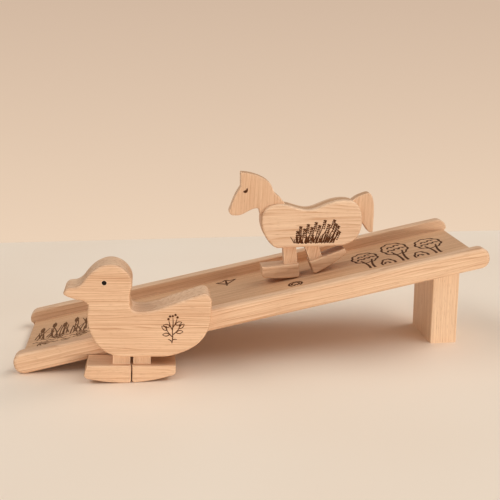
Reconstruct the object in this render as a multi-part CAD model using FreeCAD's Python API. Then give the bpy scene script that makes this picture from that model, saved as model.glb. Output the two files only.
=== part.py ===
"""Wooden ramp with two walking animals, a duck and a horse.

Millimetres and degrees.  +X runs up the ramp, +Y away from the near rail, +Z up.
The origin is at the bottom centre of the whole set.  Both animals face down the ramp (-X):
the duck stands on the table beside the near rail, the horse on the deck with its rear leg
swung back.
"""
import FreeCAD, Part
import math
import os

from types import SimpleNamespace
from FreeCAD import Vector

os.makedirs("parts", exist_ok=True)

# ---------------------------------------------------------------- ramp
RAMP_LENGTH = 400.0          # rails, along the slope
RAMP_WIDTH = 127.0           # over both rails
RAMP_SLOPE = 11.5
RAIL_HEIGHT = 17.5
RAIL_THICKNESS = 12.0
RAIL_END_RADIUS = 8.0        # seen from the side
RAIL_OUTER_ROUND = 3.0
RAIL_INNER_ROUND = 1.5
REBATE_DEPTH = 5.0           # how far the deck reaches into each rail
DECK_THICKNESS = 6.0
DECK_RAISE = 1.5             # deck underside above the rail underside
DECK_END_INSET = 3.0         # rails stand past the deck by this much at each end
DECK_END_ROUND = 1.2
BLOCK_THICKNESS = 23.6
BLOCK_WIDTH = 56.0
BLOCK_INSET = 12.8           # level distance from the high end to the block
BLOCK_ROUND = 1.5
BLOCK_DOWEL_RADIUS = 4.0
BLOCK_DOWEL_SPACING = 30.0
BLOCK_DOWEL_IN_DECK = 4.0
BLOCK_DOWEL_IN_BLOCK = 22.0

# ---------------------------------------------------------------- both animals
SWING_CLEARANCE = 0.3        # rear leg to each side board
CAVITY_CLEARANCE = 0.5       # rear leg to the hollow that it swings in
PIN_CLEARANCE = 0.05         # radial, rear leg on its hinge pin
SOLE_RADIUS = 120.0          # rocker curve under the feet
HEEL_ROUND = 2.0
TOE_ROUND = 3.0
FOOT_EDGE_ROUND = 1.0
SHOULDER_RISE = 3.0          # front leg's shoulder above the belly

# ---------------------------------------------------------------- duck
DUCK_CORE = 17.0             # middle board
DUCK_SIDE = 5.5              # each side board
DUCK_EDGE_ROUND = 2.0
DUCK_HEAD_RADIUS = 17.0
DUCK_HEAD_HEIGHT = 96.3      # top of the head above the soles
DUCK_NAPE = -0.2             # back of the head, behind the gap between the feet
DUCK_BILL_TIP = 52.2         # bill tip, ahead of that gap
DUCK_BILL_DROP = 6.5          # bill tip, below the middle of the head
DUCK_CHEST = 34.0            # breast, ahead of that gap
DUCK_BELLY_HEIGHT = 21.8
DUCK_BACK_HEIGHT = 58.7      # lowest of the back
DUCK_TAIL = 61.4             # tail, behind that gap
DUCK_TAIL_HEIGHT = 73.6
DUCK_BODY_STEPS = 95.4       # the outline's small steps are in shares of the body's length
DUCK_EYE_AHEAD = 4.2         # of the middle of the head
DUCK_EYE_RISE = 2.5          # above the middle of the head
DUCK_EYE_RADIUS = 1.9
DUCK_EYE_DEPTH = 0.6
DUCK_FOOT_WIDTH = 26.0
DUCK_FOOT_HEIGHT = 14.3
DUCK_FOOT_LENGTH = 34.6
DUCK_FOOT_GAP = 0.8
DUCK_FRONT_SLANT = 3.2       # foot end, further out at the sole than at the top
DUCK_REAR_SLANT = 0.0
DUCK_SOLE_FORWARD = 6.0      # lowest point of the rocker, ahead of the gap
DUCK_LEG_WIDTH = 13.6
DUCK_LEG_OFFSET = 1.2        # leg face from the middle of the gap
DUCK_TENON_WIDTH = 8.0
DUCK_TENON_LENGTH = 16.0
DUCK_PIN_RADIUS = 2.0
DUCK_PIN_X = 2.5
DUCK_PIN_HEIGHT = 31.5
DUCK_PIN_IN_SIDE = 3.5       # blind hole in each side board
DUCK_EAR_RADIUS = 5.5        # round top of the rear leg, about the pin
DUCK_DOWEL_RADIUS = 3.0
DUCK_DOWEL_LENGTH = 14.0
DUCK_SWING = 15.0            # rear leg, from closed to its stop
DUCK_SWUNG = 0.0             # rear leg as it stands
DUCK_LEG_LEAN = 0.0          # legs to body, nose up
DUCK_PITCH = 2.3             # body as it stands, nose up
DUCK_ALONG = 92.6            # gap between the feet, from the low end of the ramp
DUCK_TO_RAMP = 0.5
DUCK_STANCE_GAP = 0.0

# ---------------------------------------------------------------- horse
HORSE_CORE = 10.0
HORSE_SIDE = 5.0
HORSE_EDGE_ROUND = 2.0
HORSE_HEAD_ROUND = 1.0      # head and tail
HORSE_HEAD_HEIGHT = 94.2
HORSE_NOSE = 63.0            # ahead of the gap between the feet
HORSE_NOSE_HEIGHT = 56.5
HORSE_CHEST = 35.0
HORSE_BELLY_HEIGHT = 26.6
HORSE_WITHERS_HEIGHT = 66.1
HORSE_SADDLE_HEIGHT = 60.6
HORSE_CROUP_HEIGHT = 68.6
HORSE_RUMP = 54.2            # behind that gap
HORSE_TAIL = 66.0
HORSE_TAIL_HEIGHT = 73.6
HORSE_TAIL_TIP_HEIGHT = 38.2
HORSE_BODY_STEPS = 89.2
HORSE_FOOT_WIDTH = 18.6
HORSE_FOOT_HEIGHT = 12.2
HORSE_FOOT_LENGTH = 33.6
HORSE_FOOT_GAP = 1.4
HORSE_FRONT_SLANT = 0.6
HORSE_REAR_SLANT = 3.6
HORSE_SOLE_FORWARD = 8.0
HORSE_LEG_WIDTH = 11.6
HORSE_LEG_OFFSET = 1.5
HORSE_TENON_WIDTH = 7.0
HORSE_TENON_LENGTH = 16.0
HORSE_PIN_RADIUS = 2.0
HORSE_PIN_X = 2.4
HORSE_PIN_HEIGHT = 43.0
HORSE_PIN_IN_SIDE = 3.0
HORSE_EAR_RADIUS = 5.0
HORSE_DOWEL_RADIUS = 2.5
HORSE_DOWEL_LENGTH = 13.0
HORSE_SWING = 19.0
HORSE_SWUNG = 16.0
HORSE_LEG_LEAN = -4.0
HORSE_PITCH = 0.0
HORSE_ALONG = 242.0          # gap between the feet, level, from the low end of the ramp
HORSE_ACROSS = 65.0          # near side board, from the near rail's outer face
HORSE_STANCE_GAP = 0.9       # front foot above the deck, so that the rear leg can close

Y_AXIS = Vector(0, 1, 0)
SIN = math.sin(math.radians(RAMP_SLOPE))
COS = math.cos(math.radians(RAMP_SLOPE))


# ---------------------------------------------------------------- profile helpers
def at(x, z, y=0.0):
    return Vector(x, y, z)


def turned(x, z, angle):
    """(x, z) turned from +X towards +Z."""
    c, s = math.cos(math.radians(angle)), math.sin(math.radians(angle))
    return x * c - z * s, x * s + z * c


def part_way(start, end, share):
    return start + share * (end - start)


def line(a, b):
    return Part.LineSegment(at(*a), at(*b)).toShape()


def curve(points, start, end):
    """A smooth edge through the points, leaving and arriving in the given directions."""
    points = [at(*p) for p in points]
    lengths = [0.0]
    for a, b in zip(points, points[1:]):
        lengths.append(lengths[-1] + a.distanceToPoint(b))
    spline = Part.BSplineCurve()
    spline.interpolate(Points=points, Parameters=lengths, InitialTangent=at(*start).normalize(),
                       FinalTangent=at(*end).normalize(), Scale=False)
    return spline.toShape()


def board(edges, thickness, y=0.0):
    """A flat board cut to the closed profile, from y to y + thickness."""
    shape = Part.Face(Part.Wire(edges)).extrude(Vector(0, thickness, 0))
    shape.translate(Vector(0, y, 0))
    return shape


def polygon(points):
    return [line(a, b) for a, b in zip(points, points[1:] + points[:1])]


def rod(radius, length, base, axis=Y_AXIS):
    return Part.makeCylinder(radius, length, base, axis)


def rim(shape, y):
    """The outline edges that lie in the plane at y."""
    return [e for e in shape.Edges if abs(e.BoundBox.YMin - y) < 1e-4 and abs(e.BoundBox.YMax - y) < 1e-4]


def lean(shape, angle, x=0.0, z=0.0):
    """Turned from +X towards +Z about the line across at (x, z)."""
    shape = shape.copy()
    shape.rotate(at(x, z), Y_AXIS, -angle)
    return shape


# ---------------------------------------------------------------- ramp, in its own frame
# x runs along the slope, y across, z square to the deck; z = 0 is the rails' underside.
DECK_TOP = DECK_RAISE + DECK_THICKNESS
RAMP_LIFT = RAIL_END_RADIUS * (1 - SIN - COS)
RAMP_START = RAIL_END_RADIUS * (COS - 1) - (RAIL_HEIGHT - RAIL_END_RADIUS) * SIN
RAMP_END = (RAMP_LENGTH - RAIL_END_RADIUS) * COS + RAIL_END_RADIUS * (1 - SIN)
BLOCK_X = RAMP_END - BLOCK_INSET - BLOCK_THICKNESS
DECK_EDGE = RAIL_THICKNESS - REBATE_DEPTH


def rail(outer, inner):
    """One rail with round ends, rebated below for the deck; outer and inner are its two faces."""
    r, top, end = RAIL_END_RADIUS, RAIL_HEIGHT, RAMP_LENGTH
    arcs = []
    for x, z, angle in ((r, r, 180), (end - r, r, 270), (end - r, top - r, 0), (r, top - r, 90)):
        points = [turned(r, 0, angle + step) for step in (0, 45, 90)]
        arcs.append(Part.Arc(*[at(x + px, z + pz) for px, pz in points]))
    edges = []
    for this, following in zip(arcs, arcs[1:] + arcs[:1]):
        edges.append(this.toShape())
        edges.append(Part.LineSegment(this.EndPoint, following.StartPoint).toShape())
    shape = board(edges, RAIL_THICKNESS, min(outer, inner))
    shape = shape.makeFillet(RAIL_OUTER_ROUND, rim(shape, outer))
    shape = shape.makeFillet(RAIL_INNER_ROUND, rim(shape, inner))
    low = inner - REBATE_DEPTH if inner > outer else inner
    return shape.cut(Part.makeBox(RAMP_LENGTH, REBATE_DEPTH, DECK_TOP, Vector(0, low, 0)))


def deck():
    length = RAMP_LENGTH - 2 * DECK_END_INSET
    width = RAMP_WIDTH - 2 * DECK_EDGE
    shape = Part.makeBox(length, width, DECK_THICKNESS, Vector(DECK_END_INSET, DECK_EDGE, DECK_RAISE))
    ends = [e for e in shape.Edges if e.BoundBox.YLength > width - 1e-4]
    return shape.makeFillet(DECK_END_ROUND, ends)


def on_slope(shape):
    shape = lean(shape, RAMP_SLOPE)
    shape.translate(Vector(0, 0, RAMP_LIFT))
    return shape


def underside(x):
    """Height of the deck's underside above the table."""
    return RAMP_LIFT + x * SIN / COS + DECK_RAISE / COS


def support_block():
    a, b = BLOCK_X, BLOCK_X + BLOCK_THICKNESS
    profile = polygon([(a, 0), (b, 0), (b, underside(b)), (a, underside(a))])
    shape = board(profile, BLOCK_WIDTH, (RAMP_WIDTH - BLOCK_WIDTH) / 2)
    uprights = [e for e in shape.Edges if e.BoundBox.XLength < 1e-4 and e.BoundBox.YLength < 1e-4]
    return shape.makeFillet(BLOCK_ROUND, uprights)


def support_dowels():
    """Two dowels, square to the deck, from the block up into the deck."""
    x = BLOCK_X + BLOCK_THICKNESS / 2
    up = Vector(-SIN, 0, COS)
    length = BLOCK_DOWEL_IN_BLOCK + BLOCK_DOWEL_IN_DECK
    dowels = []
    for side in (-0.5, 0.5):
        foot = Vector(x, RAMP_WIDTH / 2 + side * BLOCK_DOWEL_SPACING, underside(x))
        dowels.append(rod(BLOCK_DOWEL_RADIUS, length, foot - up * BLOCK_DOWEL_IN_BLOCK, up))
    return Part.makeCompound(dowels)


# ---------------------------------------------------------------- animal outlines
# x = 0 is the middle of the gap between the feet, z = 0 the lowest point of the soles.
def duck_outline():
    """Head, back, rump, belly, breast and bill; u is a millimetre that grows with the body."""
    u = (DUCK_CHEST + DUCK_TAIL) / DUCK_BODY_STEPS
    r, nape, back = DUCK_HEAD_RADIUS, DUCK_NAPE, DUCK_BACK_HEIGHT
    x, z = nape - r, DUCK_HEAD_HEIGHT - r
    chest, belly = -DUCK_CHEST, DUCK_BELLY_HEIGHT
    tail, top = DUCK_TAIL, DUCK_TAIL_HEIGHT
    bill, tip = -DUCK_BILL_TIP, z - DUCK_BILL_DROP
    crown = [(x + px, z + pz) for px, pz in (turned(r, 0, a) for a in (130, 90, 45, 0))]
    brow = (x - 1.11 * r, z + 0.29 * r)
    neck = (nape - 1.4 * u, part_way(back, z, 0.29))
    perch = (tail - 7.0 * u, top - 0.3 * u)
    keel_back, keel_front = (tail - 39.0 * u, belly), (chest + 31.0 * u, belly)
    throat, chin = (chest + 0.2 * u, tip - 9.4 * u), (bill + 3.4 * u, tip - 2.6 * u)
    lip = (bill + 1.8 * u, part_way(tip, brow[1], 0.29))
    head = curve([brow] + crown + [(nape - 1.5 * u, part_way(back, z, 0.68)), neck], (3, 4), (0, -1))
    saddle = curve([neck, (nape + 1.0 * u, back + 1.0 * u), (nape + 5.0 * u, back - 0.1 * u),
                    (nape + 14.0 * u, back + 0.6 * u), (nape + 29.0 * u, back + 5.4 * u), perch],
                   (0, -1), (3, 1))
    rump = curve([perch, (tail - 2.0 * u, top - 2.0 * u), (tail, top - 11.6 * u),
                  (tail - 1.6 * u, part_way(belly, top, 0.463)),
                  (tail - 9.4 * u, part_way(belly, top, 0.216)),
                  (tail - 22.0 * u, part_way(belly, top, 0.07)), keel_back], (3, 1), (-1, 0))
    breast = curve([keel_front, (chest + 17.0 * u, part_way(belly, throat[1], 0.052)),
                    (chest + 5.6 * u, part_way(belly, throat[1], 0.288)),
                    (chest + 0.4 * u, part_way(belly, throat[1], 0.613)),
                    (chest - 0.5 * u, part_way(belly, throat[1], 0.849)), throat], (-1, 0), (0, 1))
    jaw = curve([throat, (chest - 2.6 * u, tip - 6.2 * u), (chest - 7.0 * u, tip - 4.9 * u), chin],
                (-0.2, 1), (-3, 1.2))
    point = curve([chin, (bill, tip), lip], (-3, 1.2), (1, 1))
    steep = 7.0 * (brow[1] - tip) / (brow[0] - bill)
    beak = curve([lip, (part_way(bill, brow[0], 0.51), part_way(tip, brow[1], 0.44)),
                  (part_way(bill, brow[0], 0.77), part_way(tip, brow[1], 0.62)),
                  (part_way(bill, brow[0], 0.91), part_way(tip, brow[1], 0.82)), brow], (1, 1), (3, steep))
    return [head, saddle, rump, line(keel_back, keel_front), breast, jaw, point, beak]


def horse_barrel():
    """Chest, withers, saddle, croup and rump over a nearly level belly."""
    u = (HORSE_CHEST + HORSE_RUMP) / HORSE_BODY_STEPS
    chest, rump, belly = -HORSE_CHEST, HORSE_RUMP, HORSE_BELLY_HEIGHT
    withers, saddle, croup = HORSE_WITHERS_HEIGHT, HORSE_SADDLE_HEIGHT, HORSE_CROUP_HEIGHT
    front, rear = (chest + 14.6 * u, belly + 0.3 * u), (rump - 17.2 * u, belly + 1.1 * u)
    back = curve([front, (chest + 8.4 * u, belly + 4.0 * u),
                  (chest + 3.8 * u, part_way(belly, withers, 0.26)),
                  (chest, part_way(belly, withers, 0.562)), (chest + 2.8 * u, withers - 5.2 * u),
                  (chest + 17.0 * u, withers), (chest + 31.0 * u, saddle + 2.2 * u),
                  (chest + 41.6 * u, saddle), (rump - 32.0 * u, saddle + 4.7 * u),
                  (rump - 17.3 * u, croup), (rump - 5.4 * u, croup - 2.8 * u),
                  (rump, croup - 13.0 * u), (rump - 0.2 * u, part_way(belly, croup, 0.405)),
                  (rump - 5.6 * u, part_way(belly, croup, 0.148)), rear], (-3, 0.6), (-3, -1))
    return [back, line(rear, front)]


def horse_head():
    """Face, muzzle, throat and mane; the two lower corners lie inside the barrel."""
    u = (HORSE_CHEST + HORSE_RUMP) / HORSE_BODY_STEPS
    nose, low, top = -HORSE_NOSE, HORSE_NOSE_HEIGHT, HORSE_HEAD_HEIGHT
    chest, withers = -HORSE_CHEST, HORSE_WITHERS_HEIGHT
    poll, brow = (nose + 10.4 * u, top), (nose + 10.4 * u, top - 12.4 * u)
    chin, jaw = (nose + 3.0 * u, low), (nose + 24.6 * u, low + 5.8 * u)
    inside_low, inside_high = (chest + 7.0 * u, withers - 24.0 * u), (chest + 26.0 * u, withers - 7.0 * u)
    face = curve([brow, (nose + 6.0 * u, part_way(low, brow[1], 0.72)),
                  (nose + 0.9 * u, part_way(low, brow[1], 0.237)),
                  (nose + 0.2 * u, part_way(low, brow[1], 0.103)), chin], (-2, -3), (3, -1))
    cheek = curve([chin, (nose + 9.6 * u, low + 0.1 * u), (nose + 16.6 * u, low + 3.2 * u), jaw],
                  (3, -0.4), (1, 0))
    throat = curve([jaw, (chest - 0.8 * u, low + 1.0 * u), inside_low], (1, -0.2), (1, -1.6))
    mane = curve([inside_high, (chest + 20.4 * u, withers + 0.8 * u),
                  (chest + 15.6 * u, part_way(withers, top, 0.235)),
                  (chest + 11.4 * u, part_way(withers, top, 0.377)),
                  (nose + 37.4 * u, part_way(withers, top, 0.559)),
                  (nose + 31.7 * u, part_way(withers, top, 0.779)),
                  (nose + 23.0 * u, part_way(withers, top, 0.922)), poll], (-3, 4), (-1, 0))
    return [line(poll, brow), face, cheek, throat, line(inside_low, inside_high), mane]


def horse_tail():
    """A tail that arches up and hangs down; its root lies inside the barrel."""
    u = (HORSE_CHEST + HORSE_RUMP) / HORSE_BODY_STEPS
    end, top, tip = HORSE_TAIL, HORSE_TAIL_HEIGHT, HORSE_TAIL_TIP_HEIGHT
    rump, croup = HORSE_RUMP, HORSE_CROUP_HEIGHT
    root, low = (rump - 12.0 * u, croup - 6.0 * u), (rump - 3.0 * u, tip + 14.0 * u)
    back = curve([root, (rump - 3.4 * u, croup + 2.0 * u), (rump + 2.6 * u, top - 0.6 * u),
                  (rump + 7.6 * u, top), (end - 1.6 * u, top - 3.6 * u), (end, top - 12.0 * u),
                  (end - 0.2 * u, tip + 1.0 * u)], (1, 1.4), (0, -1))
    heel = curve([(end - 0.2 * u, tip + 1.0 * u), (end - 2.0 * u, tip), (end - 4.2 * u, tip + 0.6 * u)],
                 (0, -1), (-1, 0.6))
    inner = curve([(end - 4.2 * u, tip + 0.6 * u), (end - 8.4 * u, tip + 6.6 * u), low], (-2, 2), (-1, 2))
    return [back, heel, inner, line(low, root)]


# ---------------------------------------------------------------- feet, legs and hinge
def sole_height(x, forward):
    return SOLE_RADIUS - math.sqrt(SOLE_RADIUS ** 2 - (x + forward) ** 2)


def foot(a, side):
    """A flat-topped foot with a rocker sole; side is -1 for the front foot and +1 for the rear."""
    inner, outer = side * a.foot_gap / 2, side * a.foot_length
    end = outer + side * a.slants[side]
    sole = [at(x, sole_height(x, a.sole_forward)) for x in (inner, (inner + end) / 2, end)]
    profile = [Part.Arc(*sole).toShape(), line((end, sole[2].z), (outer, a.foot_height)),
               line((outer, a.foot_height), (inner, a.foot_height)),
               line((inner, a.foot_height), (inner, sole[0].z))]
    shape = board(profile, a.foot_width, (a.width - a.foot_width) / 2)
    for x, corner_round in ((inner, HEEL_ROUND), (end, TOE_ROUND)):
        low_edge = [e for e in shape.Edges if e.BoundBox.YLength > a.foot_width - 1e-4
                    and abs(e.Vertexes[0].X - x) < 1e-4 and e.Vertexes[0].Z < a.foot_height - 1e-4]
        shape = shape.makeFillet(corner_round, low_edge)
    near, far = (a.width - a.foot_width) / 2, (a.width + a.foot_width) / 2
    shape = shape.makeFillet(FOOT_EDGE_ROUND, rim(shape, near) + rim(shape, far))
    return shape.cut(dowel(a, side))


def dowel(a, side):
    """The dowel that joins a foot to its leg."""
    base = at(side * (a.leg_offset + a.leg_width / 2), a.foot_height - a.dowel_length / 2, a.width / 2)
    return rod(a.dowel_radius, a.dowel_length, base, Vector(0, 0, 1))


def front_post(a):
    """The fixed front leg: a post with a one-sided shoulder and a tenon above it."""
    x = -a.leg_offset - a.leg_width
    shoulder, top = a.belly_height + SHOULDER_RISE, a.belly_height + SHOULDER_RISE + a.tenon_length
    profile = polygon([(x, a.foot_height), (-a.leg_offset, a.foot_height), (-a.leg_offset, shoulder),
                       (x + a.tenon_width, shoulder), (x + a.tenon_width, top), (x, top)])
    return board(profile, a.core, a.side).cut(dowel(a, -1))


def swinging_profile(a, grow):
    """Corners of the rear leg behind the pin: where it leaves the round ear, and its shoulder."""
    r = a.ear_radius + grow
    corner = (a.leg_offset + a.leg_width + grow, a.belly_height + grow)
    dx, dz = corner[0] - a.pin_x, corner[1] - a.pin_height
    angle = math.degrees(math.atan2(dz, dx) + math.acos(r / math.hypot(dx, dz)))
    ex, ez = turned(r, 0, angle)
    return (a.pin_x + ex, a.pin_height + ez), corner


def rear_post(a):
    """The swinging rear leg: a post whose top is a round ear on the hinge pin."""
    tangent, corner = swinging_profile(a, 0.0)
    pin = (a.pin_x, a.pin_height)
    thickness, y = a.core - 2 * SWING_CLEARANCE, a.side + SWING_CLEARANCE
    profile = polygon([(a.leg_offset, a.foot_height), (corner[0], a.foot_height), corner, tangent, pin,
                       (a.leg_offset, a.pin_height)])
    shape = board(profile, thickness, y).fuse(rod(a.ear_radius, thickness, at(*pin, y))).removeSplitter()
    shape = shape.cut(rod(a.pin_radius + PIN_CLEARANCE, thickness, at(*pin, y)))
    return shape.cut(dowel(a, 1))


def cavity(a):
    """The hollow in the middle board that the rear leg swings in, open below."""
    pin = (a.pin_x, a.pin_height)
    tangent, corner = swinging_profile(a, CAVITY_CLEARANCE)
    swept = []
    for x, z in (tangent, corner, (corner[0], 0.0)):
        dx, dz = turned(x - pin[0], z - pin[1], a.swing)
        swept.append((pin[0] + dx, pin[1] + dz))
    profile = polygon([(-a.leg_offset, -a.foot_height), (-a.leg_offset, a.pin_height), pin] + swept)
    ear = rod(a.ear_radius + CAVITY_CLEARANCE, a.core, at(*pin, a.side))
    return board(profile, a.core, a.side).fuse(ear)


def socket(a):
    """The notch in the middle board for the front leg and its tenon."""
    x = -a.leg_offset - a.leg_width
    shoulder = a.belly_height + SHOULDER_RISE
    wide = Part.makeBox(a.leg_width, a.core, shoulder, at(x, 0, a.side))
    return wide.fuse(Part.makeBox(a.tenon_width, a.core, shoulder + a.tenon_length, at(x, 0, a.side)))


def hinge_pin(a):
    length = a.core + 2 * a.pin_in_side
    return rod(a.pin_radius, length, at(a.pin_x, a.pin_height, a.side - a.pin_in_side))


def side_board(a, outline, near):
    """One outer board, rounded along its outer face."""
    y = 0.0 if near else a.width - a.side
    shape = board(outline, a.side, y)
    shape = shape.makeFillet(a.edge_round, rim(shape, 0.0 if near else a.width))
    return shape.cut(lean(hinge_pin(a), -a.leg_lean))


LEG_PIECES = ("front_post", "front_foot", "front_dowel", "rear_post", "rear_foot", "rear_dowel", "hinge_pin")


def legs(a):
    """The pieces below the body, drawn upright with both feet together."""
    return {"front_post": front_post(a), "front_foot": foot(a, -1), "front_dowel": dowel(a, -1),
            "rear_post": rear_post(a), "rear_foot": foot(a, 1), "rear_dowel": dowel(a, 1),
            "hinge_pin": hinge_pin(a)}


def stand(a, pieces):
    """Lean, swing and pitch an animal, then lower its front foot to its gap above what it stands on."""
    posed = {}
    for name, shape in pieces.items():
        if name.startswith("rear"):
            shape = lean(shape, a.swung, a.pin_x, a.pin_height)
        if name in LEG_PIECES:
            shape = lean(shape, -a.leg_lean)
        shape = lean(shape, -a.pitch)
        shape.translate(Vector(a.x, a.y, -a.floor_lift))
        posed[name] = shape
    low = lean(posed["front_foot"], -a.slope).optimalBoundingBox(False, False).ZMin
    rise = (a.floor_top + a.stance_gap - low) / math.cos(math.radians(a.slope)) + a.floor_lift
    for shape in posed.values():
        shape.translate(Vector(0, 0, rise))
    return posed


# ---------------------------------------------------------------- the two animals
def duck(a):
    head_x, head_z = DUCK_NAPE - DUCK_HEAD_RADIUS, DUCK_HEAD_HEIGHT - DUCK_HEAD_RADIUS
    eye = at(head_x - DUCK_EYE_AHEAD, head_z + DUCK_EYE_RISE)
    pieces = legs(a)
    pieces["core"] = board(duck_outline(), a.core, a.side).cut(cavity(a)).cut(socket(a))
    for name, near in (("near_side", True), ("far_side", False)):
        y = 0.0 if near else a.width - DUCK_EYE_DEPTH
        dimple = rod(DUCK_EYE_RADIUS, DUCK_EYE_DEPTH, eye + Vector(0, y, 0))
        pieces[name] = side_board(a, duck_outline(), near).cut(dimple)
    return pieces


def horse(a):
    pieces = legs(a)
    core = board(horse_barrel(), a.core, a.side)
    for outline in (horse_head(), horse_tail()):
        part = board(outline, a.core, a.side)
        core = core.fuse(part.makeFillet(HORSE_HEAD_ROUND, rim(part, a.side) + rim(part, a.side + a.core)))
    for tool in (cavity(a), socket(a)):
        core = core.cut(lean(tool, -a.leg_lean))
    pieces["core"] = core.removeSplitter()
    pieces["near_flank"] = side_board(a, horse_barrel(), True)
    pieces["far_flank"] = side_board(a, horse_barrel(), False)
    return pieces


DUCK = SimpleNamespace(
    core=DUCK_CORE, side=DUCK_SIDE, width=DUCK_CORE + 2 * DUCK_SIDE, edge_round=DUCK_EDGE_ROUND,
    belly_height=DUCK_BELLY_HEIGHT, foot_width=DUCK_FOOT_WIDTH, foot_height=DUCK_FOOT_HEIGHT,
    foot_length=DUCK_FOOT_LENGTH, foot_gap=DUCK_FOOT_GAP, slants={-1: DUCK_FRONT_SLANT, 1: DUCK_REAR_SLANT},
    sole_forward=DUCK_SOLE_FORWARD, leg_width=DUCK_LEG_WIDTH, leg_offset=DUCK_LEG_OFFSET,
    tenon_width=DUCK_TENON_WIDTH, tenon_length=DUCK_TENON_LENGTH, pin_radius=DUCK_PIN_RADIUS,
    pin_x=DUCK_PIN_X, pin_height=DUCK_PIN_HEIGHT, pin_in_side=DUCK_PIN_IN_SIDE,
    ear_radius=DUCK_EAR_RADIUS, dowel_radius=DUCK_DOWEL_RADIUS, dowel_length=DUCK_DOWEL_LENGTH,
    swing=DUCK_SWING, swung=DUCK_SWUNG, leg_lean=DUCK_LEG_LEAN, pitch=DUCK_PITCH,
    x=DUCK_ALONG, y=-DUCK_TO_RAMP - DUCK_CORE - 2 * DUCK_SIDE, slope=0.0, floor_top=0.0, floor_lift=0.0,
    stance_gap=DUCK_STANCE_GAP)

HORSE = SimpleNamespace(
    core=HORSE_CORE, side=HORSE_SIDE, width=HORSE_CORE + 2 * HORSE_SIDE, edge_round=HORSE_EDGE_ROUND,
    belly_height=HORSE_BELLY_HEIGHT, foot_width=HORSE_FOOT_WIDTH, foot_height=HORSE_FOOT_HEIGHT,
    foot_length=HORSE_FOOT_LENGTH, foot_gap=HORSE_FOOT_GAP,
    slants={-1: HORSE_FRONT_SLANT, 1: HORSE_REAR_SLANT},
    sole_forward=HORSE_SOLE_FORWARD, leg_width=HORSE_LEG_WIDTH, leg_offset=HORSE_LEG_OFFSET,
    tenon_width=HORSE_TENON_WIDTH, tenon_length=HORSE_TENON_LENGTH, pin_radius=HORSE_PIN_RADIUS,
    pin_x=HORSE_PIN_X, pin_height=HORSE_PIN_HEIGHT, pin_in_side=HORSE_PIN_IN_SIDE,
    ear_radius=HORSE_EAR_RADIUS, dowel_radius=HORSE_DOWEL_RADIUS, dowel_length=HORSE_DOWEL_LENGTH,
    swing=HORSE_SWING, swung=HORSE_SWUNG, leg_lean=HORSE_LEG_LEAN, pitch=HORSE_PITCH,
    x=HORSE_ALONG, y=HORSE_ACROSS, slope=RAMP_SLOPE, floor_top=DECK_TOP, floor_lift=RAMP_LIFT,
    stance_gap=HORSE_STANCE_GAP)


# ---------------------------------------------------------------- the whole set
nodes = {}
block, block_dowels = support_block(), support_dowels()
near_rail, far_rail = rail(0.0, RAIL_THICKNESS), rail(RAMP_WIDTH, RAMP_WIDTH - RAIL_THICKNESS)
nodes["deck"] = on_slope(deck()).cut(block_dowels)
nodes["near_rail"] = on_slope(near_rail)
nodes["far_rail"] = on_slope(far_rail)
nodes["support_block"] = block.cut(block_dowels)
nodes["support_dowels"] = block_dowels

for animal, sizes, pieces in (("duck", DUCK, duck(DUCK)), ("horse", HORSE, horse(HORSE))):
    for name, shape in stand(sizes, pieces).items():
        nodes[animal + "_" + name] = shape

origin = Vector((RAMP_START + RAMP_END) / 2, (DUCK.y + RAMP_WIDTH) / 2, 0)
for name, shape in nodes.items():
    shape.translate(-origin)
    shape.exportStep("parts/" + name + ".step")
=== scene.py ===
"""Looks of the wooden ramp with its two walking animals: bare wood with burnt drawings."""

import math
import random

import bmesh
import bpy
from mathutils import Matrix, Vector


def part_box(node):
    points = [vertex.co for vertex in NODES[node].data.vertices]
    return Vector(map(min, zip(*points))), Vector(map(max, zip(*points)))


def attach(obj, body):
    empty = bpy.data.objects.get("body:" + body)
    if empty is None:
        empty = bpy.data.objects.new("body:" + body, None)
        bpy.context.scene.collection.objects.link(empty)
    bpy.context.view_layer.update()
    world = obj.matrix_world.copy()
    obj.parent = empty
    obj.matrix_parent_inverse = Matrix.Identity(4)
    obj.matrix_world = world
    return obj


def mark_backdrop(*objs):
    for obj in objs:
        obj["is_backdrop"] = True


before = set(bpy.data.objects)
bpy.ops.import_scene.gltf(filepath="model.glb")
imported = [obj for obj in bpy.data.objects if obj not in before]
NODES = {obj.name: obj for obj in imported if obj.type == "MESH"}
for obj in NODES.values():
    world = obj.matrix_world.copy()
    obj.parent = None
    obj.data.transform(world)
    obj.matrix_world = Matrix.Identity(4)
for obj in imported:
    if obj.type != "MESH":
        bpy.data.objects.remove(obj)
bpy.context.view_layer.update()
MM = 0.001

# ---------------------------------------------------------------- where things are on the toy
RAMP_RISE = 11.5                                       # degrees
SLOPE = math.radians(RAMP_RISE)
RAMP_START = Vector((-0.1942405, 0.0, -0.0014343))     # rail underside at the low end
NEAR_RAIL_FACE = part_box("near_rail")[0].y
DECK_TOP = 7.5                                         # mm above the rail's underside
DUCK_NOSE_UP = 2.3                                     # degrees
DUCK_GAP = (-0.1016405, -0.0001497)                    # x and z of the middle of the gap between its feet
HORSE_GAP = (0.0477595, 0.0559110)


class Side:
    """A flat face that drawings go on: a corner, and the directions right and up on it, as it is seen."""

    def __init__(self, corner, right, up):
        self.corner, self.right, self.up = Vector(corner), Vector(right), Vector(up)

    def matrix(self):
        """From millimetres on the face to metres in the scene."""
        out = self.right.cross(self.up)
        turn = Matrix((self.right, self.up, out)).transposed().to_4x4()
        return Matrix.Translation(self.corner) @ turn @ Matrix.Scale(MM, 4)


def animal_side(gap, nose_up, node, near=True):
    """A side of one piece of an animal, measured from the gap between the animal's feet."""
    a = math.radians(nose_up)
    back, up = Vector((math.cos(a), 0, -math.sin(a))), Vector((math.sin(a), 0, math.cos(a)))
    low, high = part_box(node)
    return Side((gap[0], low.y if near else high.y, gap[1]), back if near else -back, up)


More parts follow.
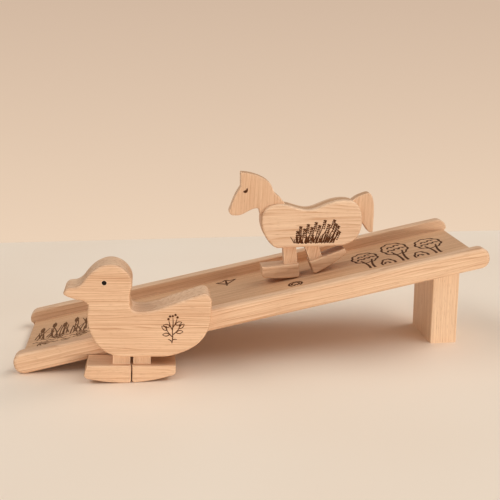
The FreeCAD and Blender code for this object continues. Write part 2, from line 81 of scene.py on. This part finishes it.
DUCK_NEAR = animal_side(DUCK_GAP, DUCK_NOSE_UP, "duck_near_side")
DUCK_FAR = animal_side(DUCK_GAP, DUCK_NOSE_UP, "duck_far_side", near=False)
HORSE_NEAR = animal_side(HORSE_GAP, 0.0, "horse_near_flank")
HORSE_FACE_NEAR = animal_side(HORSE_GAP, 0.0, "horse_core")
HORSE_FACE_FAR = animal_side(HORSE_GAP, 0.0, "horse_core", near=False)
deck_corner = RAMP_START + Vector((-math.sin(SLOPE), 0, math.cos(SLOPE))) * DECK_TOP * MM
deck_corner.y = NEAR_RAIL_FACE
DECK = Side(deck_corner, (math.cos(SLOPE), 0, math.sin(SLOPE)), (0, 1, 0))


# ---------------------------------------------------------------- shader nodes
def linear(red, green, blue):
    """A colour as it is seen, 0 to 255, in the linear values that a shader takes."""
    shares = [c / 255 for c in (red, green, blue)]
    return tuple(s / 12.92 if s <= 0.04045 else ((s + 0.055) / 1.055) ** 2.4 for s in shares) + (1.0,)


def add(tree, kind, inputs=None, **settings):
    """A node with its settings, and each input given a value or joined to an output."""
    made = tree.nodes.new(kind)
    for key, value in settings.items():
        setattr(made, key, value)
    for key, value in (inputs or {}).items():
        if isinstance(value, bpy.types.NodeSocket):
            tree.links.new(value, made.inputs[key])
        else:
            made.inputs[key].default_value = value
    return made


def maths(tree, operation, *values, clamp=False):
    inputs = dict(enumerate(values))
    return add(tree, "ShaderNodeMath", inputs, operation=operation, use_clamp=clamp).outputs[0]


def vector_maths(tree, operation, first, second=None, output=0):
    inputs = {0: first} if second is None else {0: first, 1: second}
    return add(tree, "ShaderNodeVectorMath", inputs, operation=operation).outputs[output]


def span(tree, value, low, high, out_low=0.0, out_high=1.0):
    """The value, brought from the range low to high into the range out_low to out_high."""
    inputs = {"Value": value, "From Min": low, "From Max": high, "To Min": out_low, "To Max": out_high}
    return add(tree, "ShaderNodeMapRange", inputs).outputs[0]


def streaks(tree, place, scale, low, high, out_low=0.0, out_high=1.0, detail=2.0, roughness=0.5):
    """Noise with one scale to each axis, brought into a range; a smaller scale gives longer streaks."""
    drawn_out = vector_maths(tree, "MULTIPLY", place, scale)
    cloud = add(tree, "ShaderNodeTexNoise", {"Vector": drawn_out, "Scale": 1.0, "Detail": detail,
                                             "Roughness": roughness})
    return span(tree, cloud.outputs["Fac"], low, high, out_low, out_high)


def blend(tree, share, first, second, kind="MIX"):
    """Two colours mixed; sockets 6, 7 and 2 are the mix node's colours."""
    inputs = {0: share, 6: first, 7: second}
    return add(tree, "ShaderNodeMix", inputs, data_type="RGBA", blend_type=kind).outputs[2]


def object_place(tree):
    return add(tree, "ShaderNodeTexCoord").outputs["Object"]


def camera_ray(tree):
    return add(tree, "ShaderNodeLightPath").outputs["Is Camera Ray"]


def group(name, inputs, outputs):
    """A new node group with named sockets; gives the tree and the outputs of its input node."""
    tree = bpy.data.node_groups.new(name, "ShaderNodeTree")
    for label, kind, value in inputs:
        socket = tree.interface.new_socket(label, in_out="INPUT", socket_type=kind)
        if value is not None:
            socket.default_value = value
    for label, kind in outputs:
        tree.interface.new_socket(label, in_out="OUTPUT", socket_type=kind)
    return tree, tree.nodes.new("NodeGroupInput").outputs


def new_material(name, specular):
    """Gives the material, its node tree and its shader."""
    material = bpy.data.materials.new(name)
    material.use_nodes = True
    shader = material.node_tree.nodes["Principled BSDF"]
    shader.inputs["Specular IOR Level"].default_value = specular
    return material, material.node_tree, shader


# ---------------------------------------------------------------- wood
PALE, BROWN = linear(240, 202, 165), linear(196, 145, 107)
DECK_PALE, DECK_BROWN = linear(228, 184, 143), linear(180, 128, 88)
FLECK_BROWN = linear(158, 106, 70)
# Painted highlight colour for the rounded edges.
EDGE_HIGHLIGHT_PALE = linear(246, 212, 176)
END_GRAIN_SHADE = (0.80, 0.72, 0.64, 1.0)
GRAIN_RELIEF = 0.00012       # metres between the grain's low and high spots
FLOAT, COLOUR, VECTOR = "NodeSocketFloat", "NodeSocketColor", "NodeSocketVector"


def make_wood_grain():
    """Solid wood: x runs along the grain, and the growth rings lie round the x axis, in millimetres."""
    tree, given = group(
        "wood grain",
        [("Place", VECTOR, None), ("Pale", COLOUR, None), ("Brown", COLOUR, None), ("Ring Width", FLOAT, 2.6),
         ("Rings", FLOAT, 0.5), ("Fibres", FLOAT, 0.4), ("Flecks", FLOAT, 0.35), ("End Grain", FLOAT, 0.0)],
        [("Color", COLOUR), ("Roughness", FLOAT), ("Height", FLOAT)])
    place = given["Place"]

    # Growth rings: their distance from the tree's middle, bent, of uneven width, and fainter in some seasons.
    bend = streaks(tree, place, (0.005, 0.03, 0.03), 0.3, 0.7, -2.6, 2.6, detail=3.0)
    across = vector_maths(tree, "MULTIPLY", place, (0.0, 1.0, 1.0))
    out = vector_maths(tree, "LENGTH", across, output="Value")
    count = maths(tree, "DIVIDE", maths(tree, "ADD", out, bend), given["Ring Width"])
    uneven = streaks(tree, place, (0.01, 0.2, 0.2), 0.3, 0.7, -0.55, 0.55, detail=1.0)
    share = maths(tree, "FRACT", maths(tree, "ADD", count, uneven))
    late = maths(tree, "POWER", share, 2.6)
    fade = span(tree, share, 0.9, 1.0, 1.0, 0.0)
    seasons = streaks(tree, place, (0.004, 0.42, 0.42), 0.36, 0.64, 0.25, 1.25, detail=1.0)
    ring = maths(tree, "MULTIPLY", maths(tree, "MULTIPLY", late, fade), seasons, clamp=True)

    # Fibres: broad bands, strands and hairs, and short dark flecks.
    broad = streaks(tree, place, (0.010, 0.09, 0.09), 0.3, 0.7)
    strands = streaks(tree, place, (0.014, 0.95, 0.95), 0.34, 0.66, detail=3.0, roughness=0.62)
    hairs = streaks(tree, place, (0.045, 4.2, 4.2), 0.35, 0.65)
    fibre = maths(tree, "ADD", maths(tree, "MULTIPLY", strands, 0.7), maths(tree, "MULTIPLY", hairs, 0.3))
    fleck = streaks(tree, place, (0.16, 2.6, 2.6), 0.60, 0.72, detail=1.5)

    dark = maths(tree, "MULTIPLY", ring, given["Rings"])
    dark = maths(tree, "MULTIPLY_ADD", fibre, given["Fibres"], dark)
    dark = maths(tree, "MULTIPLY_ADD", broad, 0.16, dark, clamp=True)
    face = blend(tree, dark, given["Pale"], given["Brown"])
    face = blend(tree, maths(tree, "MULTIPLY", fleck, given["Flecks"], clamp=True), face, FLECK_BROWN)
    face = blend(tree, given["End Grain"], face, blend(tree, 1.0, face, END_GRAIN_SHADE, "MULTIPLY"))
    rough = maths(tree, "MULTIPLY_ADD", fibre, 0.14, 0.46)
    rough = maths(tree, "MULTIPLY_ADD", given["End Grain"], 0.15, rough)
    height = maths(tree, "SUBTRACT", maths(tree, "MULTIPLY", ring, 0.5), maths(tree, "MULTIPLY", fibre, 0.6))
    height = maths(tree, "SUBTRACT", height, maths(tree, "MULTIPLY", fleck, 0.5))
    add(tree, "NodeGroupOutput", {"Color": face, "Roughness": rough, "Height": height})
    return tree


def make_painted_edge_highlight():
    """Painted highlight: edges made a little paler, where light catches their rounding, and a little
    smoother.
    """
    tree, given = group("painted edge highlight", [("Color", COLOUR, None), ("Roughness", FLOAT, 0.5),
                                        ("Reach", FLOAT, 0.0016), ("Paler", FLOAT, 0.8)],
                        [("Color", COLOUR), ("Roughness", FLOAT)])
    rounded = add(tree, "ShaderNodeBevel", {"Radius": given["Reach"]}, samples=6).outputs["Normal"]
    flat = add(tree, "ShaderNodeNewGeometry").outputs["Normal"]
    facing = vector_maths(tree, "DOT_PRODUCT", rounded, flat, output="Value")
    edge = maths(tree, "MULTIPLY", span(tree, facing, 0.995, 0.86), given["Paler"], clamp=True)
    # Painted highlight: the edges' rounding is made paler.
    paler = blend(tree, edge, given["Color"], EDGE_HIGHLIGHT_PALE)
    smoother = maths(tree, "MULTIPLY_ADD", edge, -0.12, given["Roughness"])
    add(tree, "NodeGroupOutput", {"Color": paler, "Roughness": smoother})
    return tree


WOOD_GRAIN = make_wood_grain()
PAINTED_EDGE_HIGHLIGHT = make_painted_edge_highlight()


def wood(name, turn, shift, pale=PALE, brown=BROWN, rings=0.5, fibres=0.42, ring_width=1.9):
    """Bare wood; turn is the grain's rise from level, and shift the place of the tree's middle, in mm."""
    material, tree, shader = new_material(name, specular=0.38)
    where = add(tree, "ShaderNodeTexCoord")
    level = add(tree, "ShaderNodeMapping", {"Vector": where.outputs["Object"], "Scale": (1 / MM,) * 3,
                                            "Rotation": (0, math.radians(turn), 0), "Location": shift})
    grain_way = (math.cos(math.radians(turn)), 0, math.sin(math.radians(turn)))
    across = vector_maths(tree, "DOT_PRODUCT", where.outputs["Normal"], grain_way, output="Value")
    ends = span(tree, maths(tree, "ABSOLUTE", across), 0.55, 0.95)
    grain = add(tree, "ShaderNodeGroup",
                {"Place": level.outputs[0], "End Grain": ends, "Pale": pale, "Brown": brown,
                 "Ring Width": ring_width, "Rings": rings, "Fibres": fibres},
                node_tree=WOOD_GRAIN).outputs
    # Painted highlight on the rounded edges, which are also a little smoother.
    edges = add(tree, "ShaderNodeGroup", {"Color": grain["Color"], "Roughness": grain["Roughness"]},
                node_tree=PAINTED_EDGE_HIGHLIGHT).outputs
    tree.links.new(edges["Color"], shader.inputs["Base Color"])
    tree.links.new(edges["Roughness"], shader.inputs["Roughness"])
    relief = add(tree, "ShaderNodeBump", {"Height": grain["Height"], "Strength": 0.35,
                                          "Distance": GRAIN_RELIEF})
    tree.links.new(relief.outputs[0], shader.inputs["Normal"])
    return material


WOODS = {
    "near_rail": wood("near rail wood", RAMP_RISE, (0, 60, 130), linear(243, 206, 169), rings=0.62,
                      fibres=0.5, ring_width=2.4),
    "far_rail": wood("far rail wood", RAMP_RISE, (700, -80, 140), rings=0.52),
    "deck": wood("deck wood", RAMP_RISE, (300, 130, 45), DECK_PALE, DECK_BROWN, rings=0.6, ring_width=2.8),
    "support_block": wood("support block wood", 90.0, (150, 30, 250), linear(250, 218, 182),
                          linear(206, 158, 120), rings=0.34, fibres=0.36, ring_width=2.8),
    "duck_near_side": wood("duck near side wood", -DUCK_NOSE_UP, (40, 150, 62), linear(242, 204, 167),
                           rings=0.8, fibres=0.48, ring_width=1.4),
    "duck_core": wood("duck middle wood", -DUCK_NOSE_UP, (420, 60, 90), rings=0.5),
    "duck_far_side": wood("duck far side wood", -DUCK_NOSE_UP, (860, 50, 60), rings=0.55),
    "duck_feet": wood("duck foot wood", -DUCK_NOSE_UP, (230, 70, 25), rings=0.5),
    "duck_posts": wood("duck leg wood", 90.0 - DUCK_NOSE_UP, (90, 40, 140), rings=0.45),
    "horse_near_flank": wood("horse near flank wood", 0.0, (520, 90, -60), linear(246, 212, 177),
                             linear(203, 155, 117), rings=0.66, ring_width=1.8),
    "horse_far_flank": wood("horse far flank wood", 0.0, (90, 40, -40), rings=0.5),
    "horse_core": wood("horse middle wood", 86.0, (610, 15, 80), rings=0.5, ring_width=2.2),
    "horse_feet": wood("horse foot wood", 4.0, (30, 75, -90), rings=0.5),
    "horse_posts": wood("horse leg wood", 80.0, (340, 35, -10), rings=0.45),
    "dowels": wood("dowel wood", 87.0, (480, 22, 33), linear(236, 200, 158), linear(196, 146, 102)),
}

for node in NODES:
    kind = node
    if node.endswith("_foot"):
        kind = node.split("_")[0] + "_feet"
    elif node.endswith("_post"):
        kind = node.split("_")[0] + "_posts"
    elif node.endswith(("_dowel", "_dowels", "_pin")):
        kind = "dowels"
    slots = NODES[node].data.materials
    slots.clear()
    slots.append(WOODS[kind])


# ---------------------------------------------------------------- the burning pen
def burnt(name, colour, paler, gloss=0.75):
    """Charred wood, a little uneven in tone."""
    material, tree, shader = new_material(name, specular=0.25)
    blotches = streaks(tree, object_place(tree), (420, 900, 900), 0.3, 0.72, detail=3.0)
    tree.links.new(blend(tree, blotches, colour, paler), shader.inputs["Base Color"])
    tree.links.new(span(tree, blotches, 0, 1, gloss - 0.1, gloss + 0.1), shader.inputs["Roughness"])
    return material


CHAR = burnt("burnt line", linear(54, 24, 7), linear(104, 60, 30))
PALE_CHAR = burnt("lightly burnt line", linear(84, 50, 26), linear(128, 86, 52))
EYE_BLACK = burnt("eye black", linear(16, 9, 5), linear(26, 15, 9), gloss=0.55)
LINE_HEIGHT = 0.03       # mm of a burnt line above the wood, half its thickness
WELD = 1e-4              # mm within which two points of a line are one
EYE_DEPTH = 0.6          # mm of the dimple in the duck's side


def spline(data, points, closed=False):
    made = data.splines.new("NURBS")
    made.points.add(len(points) - 1)
    for point, (x, y) in zip(made.points, points):
        point.co = (x, y, 0, 1)
    made.order_u = min(3, len(points))
    made.use_cyclic_u = closed
    made.use_endpoint_u = not closed
    return made


def take_in(shape, data, squeeze=1.0):
    """Add the mesh of a curve to the shape, flattened by squeeze."""
    carrier = bpy.data.objects.new(data.name, data)
    mesh = bpy.data.meshes.new_from_object(carrier)
    mesh.transform(Matrix.Diagonal((1, 1, squeeze, 1)))
    shape.from_mesh(mesh)
    bpy.data.objects.remove(carrier)
    bpy.data.meshes.remove(mesh)


def mesh_object(name, shape, material, smooth=False):
    """The shape as an object at the origin."""
    mesh = bpy.data.meshes.new(name)
    shape.to_mesh(mesh)
    shape.free()
    for face in mesh.polygons:
        face.use_smooth = smooth
    mesh.materials.append(material)
    made = bpy.data.objects.new(name, mesh)
    bpy.context.scene.collection.objects.link(made)
    return made


def finish_piece(name, shape, body, material, smooth=False):
    piece = mesh_object(name, shape, material, smooth)
    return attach(piece, body)


def ink(name, side, body, strokes, spots=(), pen=None, tone=CHAR):
    """One drawing, in mm on its side: strokes are rows of points, drawn as wide as the pen, and spots are
    closed shapes that are burnt all over."""
    shape = bmesh.new()
    if strokes:
        line = bpy.data.curves.new(name, "CURVE")
        line.dimensions = "3D"
        line.bevel_depth = pen / 2
        line.bevel_resolution = 1
        line.resolution_u = 5
        line.use_fill_caps = True
        for points in strokes:
            spline(line, points).points[-1].radius = 0.7
        take_in(shape, line, 2 * LINE_HEIGHT / pen)
    for points in spots:
        flat = bpy.data.curves.new(name, "CURVE")
        flat.dimensions = "2D"
        flat.fill_mode = "BOTH"
        flat.extrude = LINE_HEIGHT
        spline(flat, points, closed=True)
        take_in(shape, flat)
    bmesh.ops.remove_doubles(shape, verts=shape.verts, dist=WELD)
    bmesh.ops.recalc_face_normals(shape, faces=shape.faces)
    shape.transform(side.matrix())
    return finish_piece(name, shape, body, tone)


def round_eye(name, side, body, x, z, radius):
    """A small black dome that fills the eye's dimple."""
    shape = bmesh.new()
    bmesh.ops.create_uvsphere(shape, u_segments=32, v_segments=16, radius=radius)
    lower_half = [vertex for vertex in shape.verts if vertex.co.z < -0.01 * radius]
    bmesh.ops.delete(shape, geom=lower_half, context="VERTS")
    bmesh.ops.holes_fill(shape, edges=[edge for edge in shape.edges if edge.is_boundary], sides=0)
    flatten = Matrix.Diagonal((1, 1, EYE_DEPTH / radius, 1))
    bmesh.ops.transform(shape, verts=shape.verts, matrix=Matrix.Translation((x, z, -EYE_DEPTH)) @ flatten)
    shape.transform(side.matrix())
    return finish_piece(name, shape, body, EYE_BLACK, smooth=True)


# ---------------------------------------------------------------- strokes, in mm and degrees
def away(point, angle, distance):
    a = math.radians(angle)
    return point[0] + distance * math.cos(a), point[1] + distance * math.sin(a)


def arc(middle, radius, start, end, steps):
    return [away(middle, start + (end - start) * i / steps, radius) for i in range(steps + 1)]


def bowed(start, angle, length, bow):
    """A curved stroke from start; bow turns it to the left as it goes."""
    middle = away(start, angle + bow / 2, length / 2)
    return [start, middle, away(middle, angle + 1.5 * bow, length / 2)]


def leaf(start, angle, length=5.4, width=2.2):
    """Two curved sides."""
    tip = away(start, angle, length)
    left = away(away(start, angle, 0.45 * length), angle + 90, 1.1 * width)
    right = away(away(start, angle, 0.45 * length), angle - 90, 1.1 * width)
    return [[start, left, tip], [start, right, tip]]


def lobes(middle, across, up, start, end, count):
    """Small arcs that bulge out round an oval."""
    def rim_point(angle, share):
        a = math.radians(angle)
        return middle[0] + share * across * math.cos(a), middle[1] + share * up * math.sin(a)

    step = (end - start) / count
    turns = [start + step * i for i in range(count)]
    return [[rim_point(turn, 1.0), rim_point(turn + step / 2, 1.32), rim_point(turn + step, 1.0)]
            for turn in turns]


# ---------------------------------------------------------------- drawings
def twig_with_berries():
    strokes = [[(31.0, 33.4), (31.8, 38.5), (31.0, 44.0), (31.9, 50.0), (31.4, 54.0)],
               [(31.6, 38.4), (28.2, 41.4), (26.4, 45.2)], [(31.5, 40.4), (35.2, 43.0), (36.8, 46.6)],
               [(31.1, 44.6), (28.9, 48.0), (28.4, 52.0)], [(31.2, 46.0), (33.8, 49.4), (34.6, 53.4)],
               [(31.2, 34.6), (29.4, 36.4), (28.0, 36.6)], [(31.5, 36.2), (33.6, 37.2), (34.8, 36.4)]]
    for start, angle in (((29.0, 40.6), 182), ((27.0, 44.0), 140), ((34.2, 42.3), 8), ((36.3, 45.6), 42),
                         ((29.4, 47.2), 168), ((33.4, 48.8), 20)):
        strokes += leaf(start, angle)
    spots = [arc(middle, 1.0, 0, 330, 9)
             for middle in ((26.2, 46.6), (37.0, 48.0), (28.0, 53.2), (35.0, 54.6),
                            (31.3, 55.6), (29.2, 55.4), (33.4, 56.6))]
    return strokes, spots


def ear_of_wheat(foot, angle, height):
    """A bent stalk, and five pairs of seeds at its end."""
    stalk = bowed(foot, angle, height, (90 - angle) * -0.6)
    seeds = []
    for pair in range(5):
        along = away(stalk[2], angle + 180, 1.75 * pair - 1.2)
        for turn in (-40, 40):
            seeds.append(arc(away(along, angle + turn, 1.35), 0.8, 0, 300, 5))
    return stalk, seeds


def wheat_field():
    """Ears of wheat that lean one way, taller towards the right, over short blades."""
    rng = random.Random(5)
    left, width, ground = -6.0, 35.0, 31.0
    strokes, spots = [], []
    blades = 40
    for i in range(blades):
        along = i / (blades - 1)
        foot = (left + width * along, ground + rng.uniform(-0.6, 0.6))
        angle = 104 - 44 * along + rng.uniform(-14, 14)
        strokes.append(bowed(foot, angle, rng.uniform(4.0, 7.5) + 4.0 * along, rng.uniform(-24, 12)))
    for i, height in enumerate((8.5, 12.5, 10.5, 14.5, 12, 16.5, 14, 19, 16, 20.5, 17, 15, 10)):
        foot = (left + 1.6 + 2.6 * i, ground)
        stalk, seeds = ear_of_wheat(foot, 88 - 1.9 * i + rng.uniform(-3, 3), height)
        tip = stalk[-1]
        awns = [[away(tip, turn, 0.6), away(tip, turn, 3.2)] for turn in (92 - 2 * i, 68 - 2 * i)]
        strokes += [stalk] + awns
        spots += seeds
    return strokes, spots


def broad_tree(x, y, height, width):
    """A round crown over a forked trunk."""
    middle = (x, y + 0.66 * height)
    strokes = lobes(middle, 0.42 * width, 0.28 * height, 0, 360, 9)
    for share_x, share_y in ((-0.12, 0.06), (0.14, 0.10), (0.04, -0.08), (-0.20, -0.10), (0.24, -0.06)):
        strokes += lobes((x + share_x * width, middle[1] + share_y * height), 0.09 * width, 0.07 * height,
                         10, 190, 2)
    for side in (-1, 1):
        strokes.append([(x + 0.09 * side * width, y), (x + 0.03 * side * width, y + 0.20 * height),
                        (x + 0.20 * side * width, y + 0.52 * height)])
    return strokes


def row_of_trees():
    """Three broad trees, the middle one tallest, with a bush between each two."""
    ground, tree_width = 47, 25
    strokes = []
    for x, height in ((311, 50), (341, 62), (371, 52)):
        strokes += broad_tree(x, ground, height, tree_width)
    for x in (326, 356):
        strokes += lobes((x, ground), 5.5, 14.0, 0, 180, 4)
        strokes += lobes((x - 1, ground + 2), 2.4, 5.0, 0, 180, 2)
    return strokes


def web_print(x, y, reach):
    """A bird's foot: three toes, the web between them and a short heel."""
    strokes = []
    turns = (48, 90, 132)
    tips = [away((x, y), turn, reach) for turn in turns]
    for tip, turn in zip(tips, turns):
        strokes.append([away((x, y), turn, 0.5), tip])
    for first, second, turn in zip(tips, tips[1:], (69, 111)):
        near_first, near_second = away(first, turn - 90, -0.4), away(second, turn - 90, 0.4)
        strokes.append([near_first, away((x, y), turn, 0.62 * reach), near_second])
    strokes.append([(x, y - 0.4), (x, y - 0.3 * reach)])
    return strokes


def hoof_print(x, y, radius):
    """A hoof's rim, drawn double, round its frog."""
    half, heel, tip = 0.3 * radius, y - 0.8 * radius, y + 0.25 * radius
    frog = [(x - half, heel), (x, tip), (x + half, heel)]
    return [arc((x, y), radius, -58, 238, 10), arc((x, y), 0.58 * radius, -48, 228, 9), frog]


def reed_bank():
    """Reeds and bulrushes over ripples and round floating leaves."""
    rng = random.Random(9)
    strokes, spots = [], []
    for row in range(6):
        for i in range(5 - row % 2):
            start = (9 + 5 * (row % 2) + 10.5 * i + rng.uniform(-1.5, 1.5), 28 + 5.6 * row)
            strokes.append([start, (start[0] + 2.6, start[1] + 2.6), (start[0] + 5.2, start[1] - 1.8),
                            (start[0] + 8.2, start[1] + 1.0)])
    for x, y, radius in ((19, 44, 5.2), (38, 37, 5.8), (52, 51, 5.0), (31, 57, 4.6)):
        strokes.append(arc((x, y), radius, 25, 335, 10))
        strokes.append(arc((x, y), 0.55 * radius, 35, 325, 8))
        strokes += [[(x, y), away((x, y), 25, radius)], [(x, y), away((x, y), 335, radius)]]
    for i in range(26):
        foot = (10.0 + 1.95 * i, 58 + rng.uniform(-3, 3))
        strokes.append(bowed(foot, 90 + rng.uniform(-14, 14), rng.uniform(15, 34), rng.uniform(-18, 18)))
    bank = 60
    for x, height in ((14, 30), (24, 38), (34, 33), (44, 40), (54, 34)):
        strokes.append([(x, bank), (x + 0.6, bank + height)])
        middle = (x + 0.5, bank + height - 8)
        spots.append([(middle[0] - 1.9, middle[1] - 6.0), (middle[0] - 2.1, middle[1] + 6.0),
                      (middle[0] + 2.1, middle[1] + 6.0), (middle[0] + 1.9, middle[1] - 6.0)])
    return strokes, spots


twig, berries = twig_with_berries()
ink("duck_twig_drawing", DUCK_NEAR, "duck", twig, berries, pen=0.8)
wheat, seeds = wheat_field()
ink("horse_wheat_drawing", HORSE_NEAR, "horse", wheat, seeds, pen=0.9)
# On the deck, x runs up the slope from the low end, and y across from the near rail's outer face.
ink("deck_tree_drawing", DECK, "ramp", row_of_trees(), pen=2.2)
ink("deck_web_print_drawing", DECK, "ramp", web_print(184.0, 96.0, 14.0), pen=2.1)
ink("deck_hoof_print_drawing", DECK, "ramp", hoof_print(241.5, 51.0, 6.0), pen=2.0)
reeds, bulrushes = reed_bank()
ink("deck_reed_drawing", DECK, "ramp", reeds, bulrushes, pen=1.3, tone=PALE_CHAR)

DUCK_EYE = (21.4, 81.8)          # mm in front of the gap between the feet, and above it
DUCK_EYE_RADIUS = 1.86
round_eye("duck_near_eye", DUCK_NEAR, "duck", -DUCK_EYE[0], DUCK_EYE[1], DUCK_EYE_RADIUS)
round_eye("duck_far_eye", DUCK_FAR, "duck", DUCK_EYE[0], DUCK_EYE[1], DUCK_EYE_RADIUS)
HORSE_EYE = (48.6, 78.3)
lash_and_lid = [(-2.2, -0.9), (-1.2, -2.1), (0.5, -2.4), (2.1, -0.9), (2.1, 2.1), (1.0, 2.2), (0.5, 0.3),
                (-0.9, 0.1)]
ink("horse_near_eye", HORSE_FACE_NEAR, "horse", [],
    [[(-HORSE_EYE[0] + x, HORSE_EYE[1] + z) for x, z in lash_and_lid]])
ink("horse_far_eye", HORSE_FACE_FAR, "horse", [],
    [[(HORSE_EYE[0] - x, HORSE_EYE[1] + z) for x, z in reversed(lash_and_lid)]])


# ---------------------------------------------------------------- table and wall
def plane(name, corners, material):
    shape = bmesh.new()
    shape.faces.new([shape.verts.new(corner) for corner in corners])
    made = mesh_object(name, shape, material)
    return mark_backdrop(made)


def table_material():
    material, tree, shader = new_material("table top", specular=0.2)
    shader.inputs["Roughness"].default_value = 0.7
    soft = streaks(tree, object_place(tree), (3.0, 3.0, 3.0), 0.3, 0.7)
    tone = blend(tree, soft, linear(252, 236, 217), linear(248, 229, 208))
    tree.links.new(tone, shader.inputs["Base Color"])
    return material


def wall_material():
    """A pale wall that only the camera sees, and only from its front, so that it adds no light."""
    material = bpy.data.materials.new("wall")
    material.use_nodes = True
    tree = material.node_tree
    tree.nodes.clear()
    height = add(tree, "ShaderNodeSeparateXYZ", {0: object_place(tree)}).outputs["Z"]
    # Painted light: the wall glows paler at its foot and darker towards the top.
    tone = blend(tree, span(tree, height, 0.0, 0.30), linear(236, 210, 184), linear(212, 186, 163))
    front = maths(tree, "SUBTRACT", 1.0, add(tree, "ShaderNodeNewGeometry").outputs["Backfacing"])
    paint = add(tree, "ShaderNodeEmission", {"Color": tone, "Strength": 1.0})
    clear = add(tree, "ShaderNodeBsdfTransparent")
    both = add(tree, "ShaderNodeMixShader", {0: maths(tree, "MULTIPLY", camera_ray(tree), front),
                                             1: clear.outputs[0], 2: paint.outputs[0]})
    add(tree, "ShaderNodeOutputMaterial", {"Surface": both.outputs[0]})
    return material


FAR = 6.0                # how far the table and the wall reach to both sides, in metres
EDGE = 1.2               # the table's front and back edges, well before the two low lamps
WALL = 0.42              # the wall's distance behind the toy's middle
WALL_TOP = 4.0
plane("table_top", [(-FAR, -EDGE, 0), (FAR, -EDGE, 0), (FAR, EDGE, 0), (-FAR, EDGE, 0)], table_material())
plane("back_wall", [(-FAR, WALL, 0), (FAR, WALL, 0), (FAR, WALL, WALL_TOP), (-FAR, WALL, WALL_TOP)],
      wall_material())

# ---------------------------------------------------------------- light and camera
world = bpy.data.worlds.new("room")
bpy.context.scene.world = world
world.use_nodes = True
sky = world.node_tree
sky.nodes.clear()
room = add(sky, "ShaderNodeBackground", {"Color": (1.0, 0.97, 0.94, 1.0), "Strength": 0.24})
behind = add(sky, "ShaderNodeBackground", {"Color": linear(226, 200, 172), "Strength": 1.0})
both = add(sky, "ShaderNodeMixShader", {0: camera_ray(sky), 1: room.outputs[0], 2: behind.outputs[0]})
add(sky, "ShaderNodeOutputWorld", {"Surface": both.outputs[0]})

LIGHT_AIM = Vector((0, 0, 0.05))
DAYLIGHT, BOUNCED = (1.0, 0.985, 0.965), (1.0, 0.975, 0.945)


def lamp(name, place, size, power, colour):
    """A flat lamp, width by height, that faces the toy and isn't seen itself."""
    data = bpy.data.lights.new(name, "AREA")
    data.shape = "RECTANGLE"
    data.size, data.size_y = size
    data.energy = power
    data.color = colour
    made = bpy.data.objects.new(name, data)
    made.visible_camera = False
    made.location = place
    made.rotation_euler = (LIGHT_AIM - Vector(place)).to_track_quat("-Z", "Y").to_euler()
    bpy.context.scene.collection.objects.link(made)
    return made


lamp("window", (4.3, -0.8, 5.3), (9.0, 3.4), 265.0, DAYLIGHT)
lamp("left_window", (-4.3, -0.8, 5.3), (9.0, 3.4), 195.0, DAYLIGHT)
for name, place, size, power in (("front_bounce", (0.6, -2.2, 0.06), (1.6, 0.12), 25.0),
                                 ("back_bounce", (-0.2, 2.2, 0.06), (2.6, 0.12), 20.0)):
    lamp(name, place, size, power, BOUNCED).visible_glossy = False

LENS, SENSOR = 64.8, 36.0                               # mm
CAMERA_PLACE = (-0.0821105, -0.74583, 0.27178)
LOOKS_DOWN, LOOKS_RIGHT = 0.242597, 0.110675            # radians
view = bpy.data.cameras.new("camera")
view.lens = LENS
view.sensor_width = SENSOR
camera = bpy.data.objects.new("camera", view)
camera.location = CAMERA_PLACE
camera.rotation_euler = (math.pi / 2 - LOOKS_DOWN, 0.0, -LOOKS_RIGHT)
bpy.context.scene.collection.objects.link(camera)
bpy.context.scene.camera = camera
bpy.context.scene.view_settings.view_transform = "Standard"
